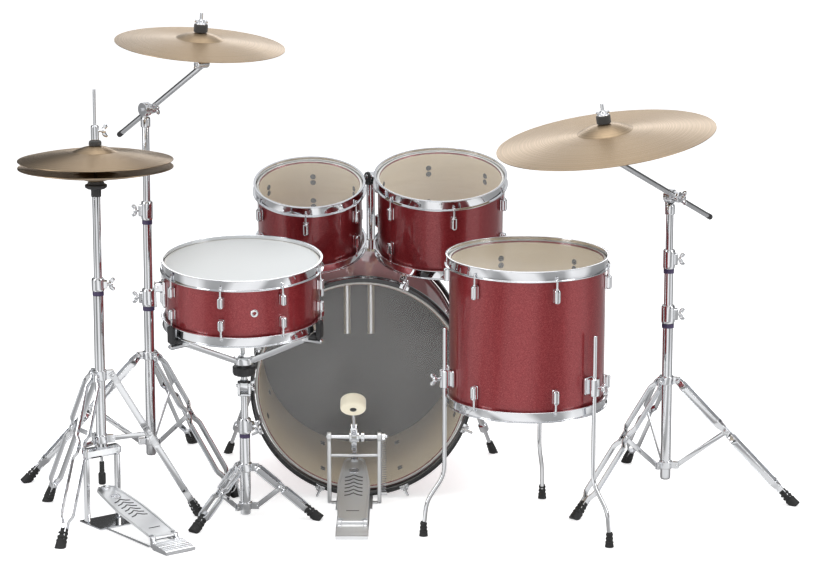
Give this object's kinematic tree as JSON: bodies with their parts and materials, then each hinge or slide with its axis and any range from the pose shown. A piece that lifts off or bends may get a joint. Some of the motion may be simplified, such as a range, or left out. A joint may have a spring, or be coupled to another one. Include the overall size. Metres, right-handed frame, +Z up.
{
  "type": "acoustic drum kit",
  "caption": "Acoustic drum kit with bass drum, mounted toms, floor tom, snare, hi-hat, crash and ride on folding stands, and a kick pedal",
  "frame": {"origin": "underside of the kick pedal's base plate, below the outer face of the batter hoop, on the floor", "axes": "+X to the drummer's right, +Y away from the drummer, +Z up"},
  "size_m": [1.8891, 1.0297, 1.1649],
  "materials": {
    "wrap_red": "gloss",
    "hoop_black": "gloss",
    "film_clear": "gloss",
    "film_coated": "matte",
    "film_black": "satin",
    "chrome": "polished",
    "bronze": "lathed",
    "rubber": "matte",
    "cast_alu": "satin"
  },
  "bodies": {
    "kit_base": {"bass_shell": "wrap_red", "bass_hoops": "hoop_black", "bass_batter_head": "film_clear", "bass_front_head": "film_black", "bass_lugs": "chrome", "bass_claws": "chrome", "tom_mount": "chrome", "floor_tom_legs": "chrome", "snare_base": "chrome", "hihat_base": "chrome", "crash_base": "chrome", "ride_base": "chrome", "tripod_legs": "chrome", "tripod_braces": "chrome", "rubber_feet": "rubber", "kick_frame": "cast_alu"},
    "floor_tom": {"floor_tom_shell": "wrap_red", "floor_tom_hoops": "chrome", "floor_tom_heads": "film_clear", "floor_tom_fittings": "chrome"},
    "tom1": {"tom1_shell": "wrap_red", "tom1_hoops": "chrome", "tom1_heads": "film_clear", "tom1_fittings": "chrome"},
    "tom2": {"tom2_shell": "wrap_red", "tom2_hoops": "chrome", "tom2_heads": "film_clear", "tom2_fittings": "chrome"},
    "snare_drum": {"snare_basket": "chrome", "snare_shell": "wrap_red", "snare_hoops": "chrome", "snare_heads": "film_coated", "snare_fittings": "chrome"},
    "hihat_height_tube": {"hihat_post": "chrome", "hihat_bottom_cymbal": "bronze"},
    "hihat_clutch_body": {"hihat_clutch": "chrome", "hihat_top_cymbal": "bronze"},
    "spur_left_leg": {"spur_left": "chrome"},
    "spur_right_leg": {"spur_right": "chrome"},
    "small_tom_arm": {"tom1_arm": "chrome"},
    "large_tom_arm": {"tom2_arm": "chrome"},
    "snare_height_tube": {"snare_post": "chrome"},
    "throw_off_lever": {"snare_throw_off": "chrome"},
    "hihat_rod": {"hihat_pull_rod": "chrome"},
    "hihat_pedal": {"hihat_footboard": "cast_alu"},
    "crash_tube": {"crash_post": "chrome"},
    "crash_arm": {"crash_boom": "chrome"},
    "crash_disc": {"crash_cymbal": "bronze"},
    "ride_tube": {"ride_post": "chrome"},
    "ride_arm": {"ride_boom": "chrome"},
    "ride_disc": {"ride_cymbal": "bronze"},
    "ride_collar": {"ride_leg_collar": "chrome"},
    "ride_leg_a": {"ride_leg_1": "chrome"},
    "ride_leg_b": {"ride_leg_2": "chrome"},
    "ride_leg_c": {"ride_leg_3": "chrome"},
    "ride_brace_a": {"ride_brace_1": "chrome"},
    "ride_brace_b": {"ride_brace_2": "chrome"},
    "ride_brace_c": {"ride_brace_3": "chrome"},
    "beater": {"kick_beater": "cast_alu"},
    "kick_board": {"kick_footboard": "cast_alu"}
  },
  "joints": [
    {"name": "spur_left_fold", "type": "hinge", "parent": "kit_base", "child": "spur_left_leg", "pos_m": [-0.28181, 0.32036, 0.19953], "axis": [-0.9653, -0.0337, -0.2588], "range_deg": [-60, 0]},
    {"name": "spur_right_fold", "type": "hinge", "parent": "kit_base", "child": "spur_right_leg", "pos_m": [0.25878, 0.33924, 0.19953], "axis": [0.9653, 0.0337, -0.2588], "range_deg": [0, 60]},
    {"name": "floor_tom_height", "type": "slide", "parent": "kit_base", "child": "floor_tom", "axis": [0, -0.0419, 0.9991], "range_m": [-0.05, 0.08]},
    {"name": "tom1_swivel", "type": "hinge", "parent": "kit_base", "child": "small_tom_arm", "pos_m": [-0.04377, 0.39371, 0.712], "axis": [0, 0, 1], "range_deg": [-12, 0]},
    {"name": "tom2_swivel", "type": "hinge", "parent": "kit_base", "child": "large_tom_arm", "pos_m": [0.0162, 0.39581, 0.725], "axis": [0, 0, 1], "range_deg": [0, 10]},
    {"name": "tom1_tilt", "type": "hinge", "parent": "small_tom_arm", "child": "tom1", "pos_m": [-0.04377, 0.39371, 0.712], "axis": [0.9164, -0.4002, 0], "range_deg": [-10, 0]},
    {"name": "tom2_tilt", "type": "hinge", "parent": "large_tom_arm", "child": "tom2", "pos_m": [0.0162, 0.39581, 0.725], "axis": [0.7718, 0.6359, 0], "range_deg": [-10, 0]},
    {"name": "snare_height", "type": "slide", "parent": "kit_base", "child": "snare_height_tube", "axis": [0, 0, 1], "range_m": [-0.008, 0.08]},
    {"name": "snare_tilt", "type": "hinge", "parent": "snare_height_tube", "child": "snare_drum", "pos_m": [-0.272, -0.16, 0.316], "axis": [1, 0, 0], "range_deg": [-3, 6]},
    {"name": "throw_off", "type": "hinge", "parent": "snare_drum", "child": "throw_off_lever", "pos_m": [-0.46668, -0.22428, 0.56539], "axis": [0.1822, -0.9771, -0.1096], "range_deg": [-50, 0]},
    {"name": "hihat_height", "type": "slide", "parent": "kit_base", "child": "hihat_height_tube", "axis": [0, 0, 1], "range_m": [-0.06, 0]},
    {"name": "hihat_pedal_press", "type": "hinge", "parent": "kit_base", "child": "hihat_pedal", "pos_m": [-0.4427, -0.40446, 0.022], "axis": [0.788, 0.6157, 0], "range_deg": [-3.2, 0], "stiffness_Nm_per_rad": 30, "springref_deg": 20.05},
    {"name": "hihat_rod_pull", "type": "slide", "parent": "kit_base", "child": "hihat_rod", "axis": [0, 0, 1], "range_m": [-0.0145, 0.0005]},
    {"name": "hihat_clutch_set", "type": "slide", "parent": "hihat_rod", "child": "hihat_clutch_body", "axis": [0, 0, 1], "range_m": [0, 0.05]},
    {"name": "crash_height", "type": "slide", "parent": "kit_base", "child": "crash_tube", "axis": [0, 0, 1], "range_m": [-0.12, 0.08]},
    {"name": "crash_boom_tilt", "type": "hinge", "parent": "crash_tube", "child": "crash_arm", "pos_m": [-0.53, 0.23, 0.915], "axis": [0.6816, 0.7318, 0], "range_deg": [-15, 15]},
    {"name": "crash_spin", "type": "hinge", "parent": "crash_arm", "child": "crash_disc", "pos_m": [-0.384, 0.093, 1.087], "axis": [0.0747, -0.0906, 0.9931], "continuous": true},
    {"name": "ride_height", "type": "slide", "parent": "kit_base", "child": "ride_tube", "axis": [0, 0, 1], "range_m": [-0.08, 0.06]},
    {"name": "ride_boom_tilt", "type": "hinge", "parent": "ride_tube", "child": "ride_arm", "pos_m": [0.733, 0.03, 0.733], "axis": [0.761, -0.6488, 0], "range_deg": [-10, 15]},
    {"name": "ride_spin", "type": "hinge", "parent": "ride_arm", "child": "ride_disc", "pos_m": [0.565, -0.164, 0.896], "axis": [-0.1402, -0.1011, 0.985], "continuous": true},
    {"name": "ride_collar_slide", "type": "slide", "parent": "kit_base", "child": "ride_collar", "axis": [0, 0, 1], "range_m": [0, 0.06]},
    {"name": "ride_leg_a_fold", "type": "hinge", "parent": "ride_collar", "child": "ride_leg_a", "pos_m": [0.72684, 0.05731, 0.285], "axis": [-0.9755, -0.2198, 0], "range_deg": [-0.5, 15.8]},
    {"name": "ride_brace_a_fold", "type": "hinge", "parent": "kit_base", "child": "ride_brace_a", "pos_m": [0.72684, 0.05731, 0.076], "axis": [-0.9755, -0.2198, 0], "range_deg": [-18.9, 0.5]},
    {"name": "ride_leg_b_fold", "type": "hinge", "parent": "ride_collar", "child": "ride_leg_b", "pos_m": [0.71242, 0.01101, 0.285], "axis": [0.6782, -0.7349, 0], "range_deg": [-0.5, 15.8]},
    {"name": "ride_brace_b_fold", "type": "hinge", "parent": "kit_base", "child": "ride_brace_b", "pos_m": [0.71242, 0.01101, 0.076], "axis": [0.6782, -0.7349, 0], "range_deg": [-18.9, 0.5]},
    {"name": "ride_leg_c_fold", "type": "hinge", "parent": "ride_collar", "child": "ride_leg_c", "pos_m": [0.75973, 0.02167, 0.285], "axis": [0.2974, 0.9548, 0], "range_deg": [-0.5, 15.8]},
    {"name": "ride_brace_c_fold", "type": "hinge", "parent": "kit_base", "child": "ride_brace_c", "pos_m": [0.75973, 0.02167, 0.076], "axis": [0.2974, 0.9548, 0], "range_deg": [-18.9, 0.5]},
    {"name": "kick_press", "type": "hinge", "parent": "kit_base", "child": "kick_board", "pos_m": [-0.018, -0.29, 0.022], "axis": [1, 0, 0], "range_deg": [-7.4, 0]},
    {"name": "beater_swing", "type": "hinge", "parent": "kit_base", "child": "beater", "pos_m": [-0.018, -0.045, 0.163], "axis": [1, 0, 0], "range_deg": [-62, 1], "stiffness_Nm_per_rad": 0.8, "springref_deg": 34.38}
  ],
  "couplings": [
    {"joint": "ride_leg_a_fold", "follows": "ride_collar_slide", "rad_per_m": 4.4605},
    {"joint": "ride_brace_a_fold", "follows": "ride_collar_slide", "rad_per_m": -5.357},
    {"joint": "ride_leg_b_fold", "follows": "ride_collar_slide", "rad_per_m": 4.4605},
    {"joint": "ride_brace_b_fold", "follows": "ride_collar_slide", "rad_per_m": -5.357},
    {"joint": "ride_leg_c_fold", "follows": "ride_collar_slide", "rad_per_m": 4.4605},
    {"joint": "ride_brace_c_fold", "follows": "ride_collar_slide", "rad_per_m": -5.357},
    {"joint": "hihat_rod_pull", "follows": "hihat_pedal_press", "m_per_rad": 0.254},
    {"joint": "beater_swing", "follows": "kick_press", "ratio": 8.2059}
  ]
}
